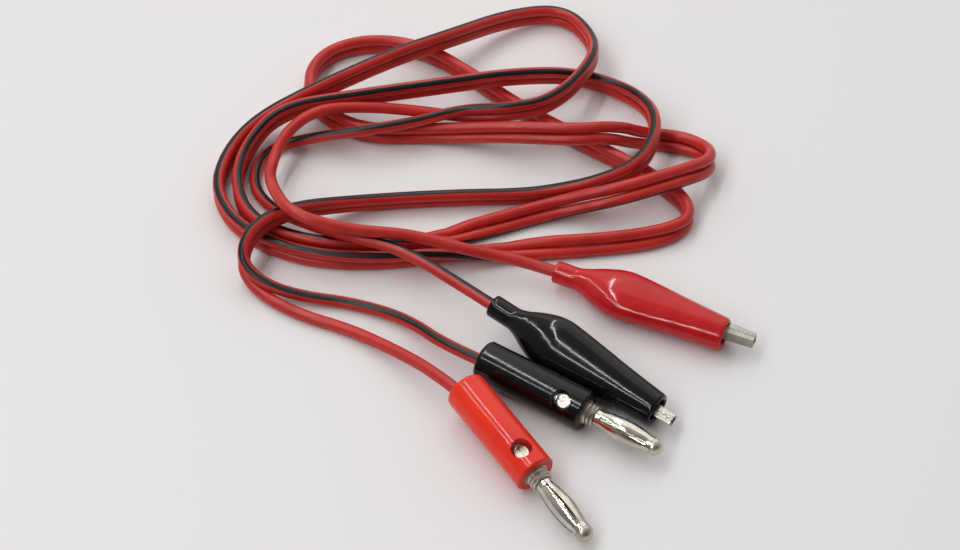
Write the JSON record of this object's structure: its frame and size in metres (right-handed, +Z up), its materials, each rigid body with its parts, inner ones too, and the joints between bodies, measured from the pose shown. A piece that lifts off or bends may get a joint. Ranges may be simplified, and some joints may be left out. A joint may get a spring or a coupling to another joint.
{
  "type": "test lead set",
  "caption": "Test leads: a flexible twin cord in loose loops, with sprung banana plugs at one end and booted crocodile clips at the other, in red and black.",
  "frame": {"origin": "on the surface that the leads lie on, under the middle of the box round both plugs and both clips", "axes": "+Z up from that surface; +Y from the plugs towards the looped cord; +X to the right as seen from the plugs' side"},
  "size_m": [0.1266, 0.1669, 0.0153],
  "materials": {
    "red_plastic": "moulded, glossy",
    "black_plastic": "moulded, satin gloss",
    "red_vinyl": "soft vinyl, glossy",
    "black_vinyl": "soft vinyl, glossy",
    "nickel": "nickel plated brass, turned",
    "spring_nickel": "nickel plated spring sheet",
    "plated_steel": "stamped, nickel plated",
    "spring_steel": "spring wire",
    "red_insulation": "soft cable insulation, semi-gloss",
    "striped_insulation": "soft cable insulation with a dark stripe along it",
    "copper": "stranded bare copper"
  },
  "bodies": {
    "root": {"red_plug_barrel": "red_plastic", "red_plug_core": "nickel", "red_plug_screw": "nickel", "black_plug_barrel": "black_plastic", "black_plug_core": "nickel", "black_plug_screw": "nickel", "red_clip_boot": "red_vinyl", "red_clip_wire_jaw": "plated_steel", "red_clip_rivet": "plated_steel", "red_clip_spring": "spring_steel", "black_clip_boot": "black_vinyl", "black_clip_wire_jaw": "plated_steel", "black_clip_rivet": "plated_steel", "black_clip_spring": "spring_steel", "plain_cord": "red_insulation", "striped_cord": "striped_insulation", "plain_copper": "copper", "striped_copper": "copper"},
    "red_jaw": {"red_clip_spring_jaw": "plated_steel"},
    "black_jaw": {"black_clip_spring_jaw": "plated_steel"},
    "red_leaf_sleeve": {"red_plug_leaves": "spring_nickel"},
    "black_leaf_sleeve": {"black_plug_leaves": "spring_nickel"}
  },
  "joints": [
    {"name": "red_jaw_hinge", "type": "hinge", "parent": "root", "child": "red_jaw", "pos_m": [0.01214, 0.0258, 0.0042], "axis": [0, 0, 1], "range_deg": [0, 22], "stiffness_Nm_per_rad": 0.05, "springref_deg": -34.38, "deforming": ["red_clip_boot", "red_clip_spring"]},
    {"name": "black_jaw_hinge", "type": "hinge", "parent": "root", "child": "black_jaw", "pos_m": [-0.00466, 0.00786, 0.00543], "axis": [-0.2852, -0.4679, 0.8365], "range_deg": [0, 22], "stiffness_Nm_per_rad": 0.05, "springref_deg": -34.38, "deforming": ["black_clip_boot", "black_clip_spring"]},
    {"name": "red_leaf_spin", "type": "hinge", "parent": "root", "child": "red_leaf_sleeve", "pos_m": [-0.00995, -0.03061, 0.00396], "axis": [0.5712, -0.8172, -0.077], "continuous": true},
    {"name": "black_leaf_spin", "type": "hinge", "parent": "root", "child": "black_leaf_sleeve", "pos_m": [0.0039, -0.01089, 0.0047], "axis": [0.8331, -0.5532, 0], "continuous": true}
  ]
}
